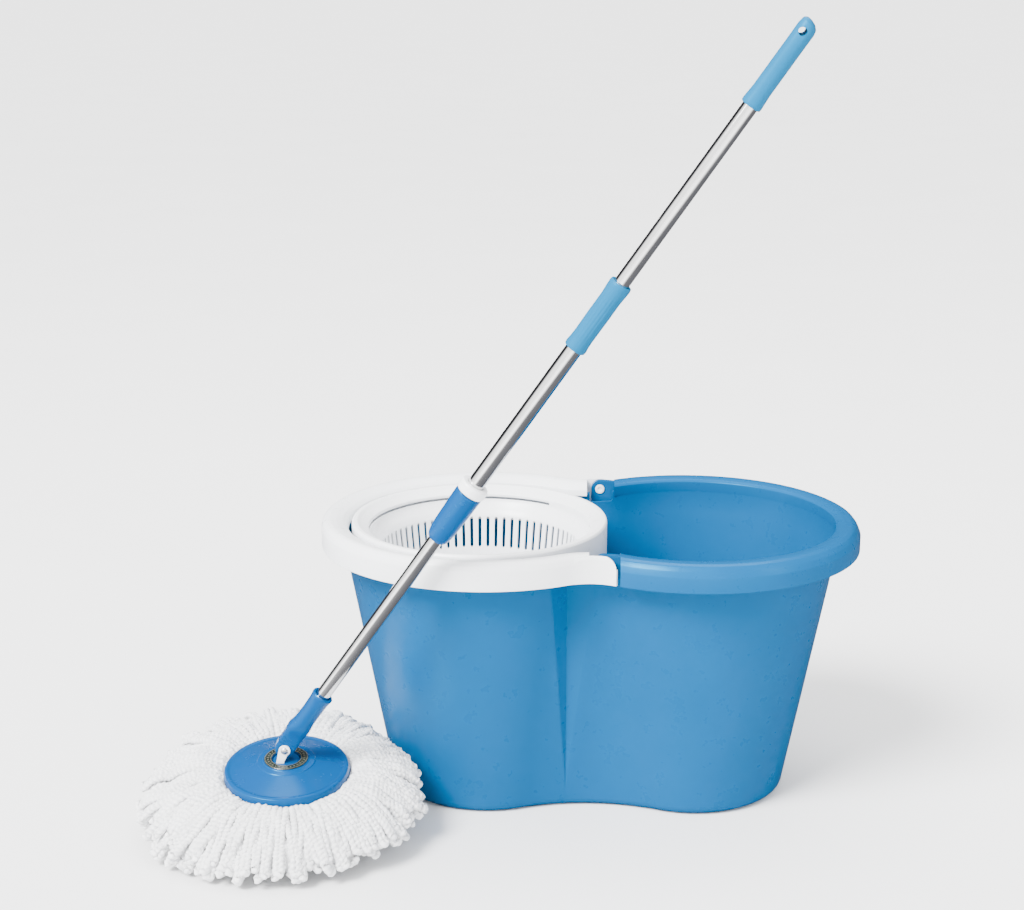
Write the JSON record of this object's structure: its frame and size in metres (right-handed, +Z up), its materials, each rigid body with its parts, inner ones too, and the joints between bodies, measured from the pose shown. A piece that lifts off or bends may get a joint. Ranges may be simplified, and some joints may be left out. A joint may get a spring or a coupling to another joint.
{
  "type": "spin mop set",
  "caption": "Spin mop set: waisted bucket with a slotted spin basket and a folding carry handle, and a press-to-spin mop with a round tufted head.",
  "frame": {"origin": "middle of the bucket's underside", "axes": "+X along the bucket from the basket to the water side, -Y to the side that the mop stands on, +Z up"},
  "size_m": [0.6402, 0.404, 0.7237],
  "materials": {
    "bucket_blue": "glossy",
    "grip_cyan": "satin",
    "plate_blue": "glossy",
    "white_plastic": "glossy",
    "steel": "polished",
    "dark_trim": "glossy",
    "fibre": "soft"
  },
  "bodies": {
    "bucket": {"bucket": "bucket_blue", "spindle_post": "white_plastic", "spindle_axle": "steel", "thrust_washer": "steel"},
    "carry_handle": {"carry_handle": "white_plastic"},
    "basket": {"basket": "white_plastic", "hub_cap": "white_plastic", "axle_bush": "dark_trim"},
    "mop_hub": {"swivel_hub": "plate_blue", "fork": "white_plastic", "pivot_rivet": "steel"},
    "mop_plate": {"mop_plate": "plate_blue", "trim_ring": "dark_trim", "refill_ring": "white_plastic", "strands": "fibre"},
    "lower_pole": {"joint_socket": "plate_blue", "socket_pin": "steel", "lower_tube": "steel", "clutch_ring": "steel"},
    "bearing": {"bearing_cap": "white_plastic"},
    "drive_nut": {"drive_nut": "white_plastic"},
    "outer_pole": {"outer_tube": "steel", "twisted_rod": "steel", "rod_plug": "white_plastic", "collar_ring": "white_plastic"},
    "lock_sleeve": {"lock_sleeve": "plate_blue"},
    "mid_sleeve": {"mid_sleeve": "grip_cyan"},
    "upper_pole": {"upper_tube": "steel", "grip": "grip_cyan", "expander_plug": "white_plastic"}
  },
  "joints": [
    {"name": "handle_fold", "type": "hinge", "parent": "bucket", "child": "carry_handle", "pos_m": [0.011, 0, 0.2532], "axis": [0, 1, 0], "range_deg": [0, 95]},
    {"name": "basket_spin", "type": "hinge", "parent": "bucket", "child": "basket", "pos_m": [-0.103, 0, 0.1], "axis": [0, 0, 1], "continuous": true},
    {"name": "mop_lift", "type": "slide", "parent": "bucket", "child": "mop_hub", "axis": [-0.3125, -0.2288, 0.9219], "range_m": [0, 0.3]},
    {"name": "head_swivel", "type": "hinge", "parent": "mop_hub", "child": "mop_plate", "pos_m": [-0.2702, -0.1385, 0.0853], "axis": [0, -0.1392, 0.9903], "continuous": true},
    {"name": "head_tilt", "type": "hinge", "parent": "mop_hub", "child": "lower_pole", "pos_m": [-0.2702, -0.1385, 0.0853], "axis": [0, 0.9903, 0.1392], "range_deg": [-95, 8]},
    {"name": "pole_spin", "type": "hinge", "parent": "lower_pole", "child": "bearing", "pos_m": [-0.2702, -0.1385, 0.0853], "axis": [0.5583, -0.1155, 0.8215], "continuous": true},
    {"name": "nut_turn", "type": "hinge", "parent": "bearing", "child": "drive_nut", "pos_m": [-0.2702, -0.1385, 0.0853], "axis": [0.5583, -0.1155, 0.8215], "range_deg": [0, 505]},
    {"name": "press_stroke", "type": "slide", "parent": "bearing", "child": "outer_pole", "axis": [-0.5583, 0.1155, -0.8215], "range_m": [0, 0.07]},
    {"name": "lock_twist", "type": "hinge", "parent": "outer_pole", "child": "lock_sleeve", "pos_m": [-0.2702, -0.1385, 0.0853], "axis": [0.5583, -0.1155, 0.8215], "range_deg": [0, 90]},
    {"name": "mid_twist", "type": "hinge", "parent": "outer_pole", "child": "mid_sleeve", "pos_m": [-0.2702, -0.1385, 0.0853], "axis": [0.5583, -0.1155, 0.8215], "range_deg": [0, 90]},
    {"name": "pole_extend", "type": "slide", "parent": "outer_pole", "child": "upper_pole", "axis": [0.5583, -0.1155, 0.8215], "range_m": [0, 0.05]}
  ],
  "couplings": [
    {"joint": "nut_turn", "follows": "press_stroke", "rad_per_m": 125.66}
  ]
}
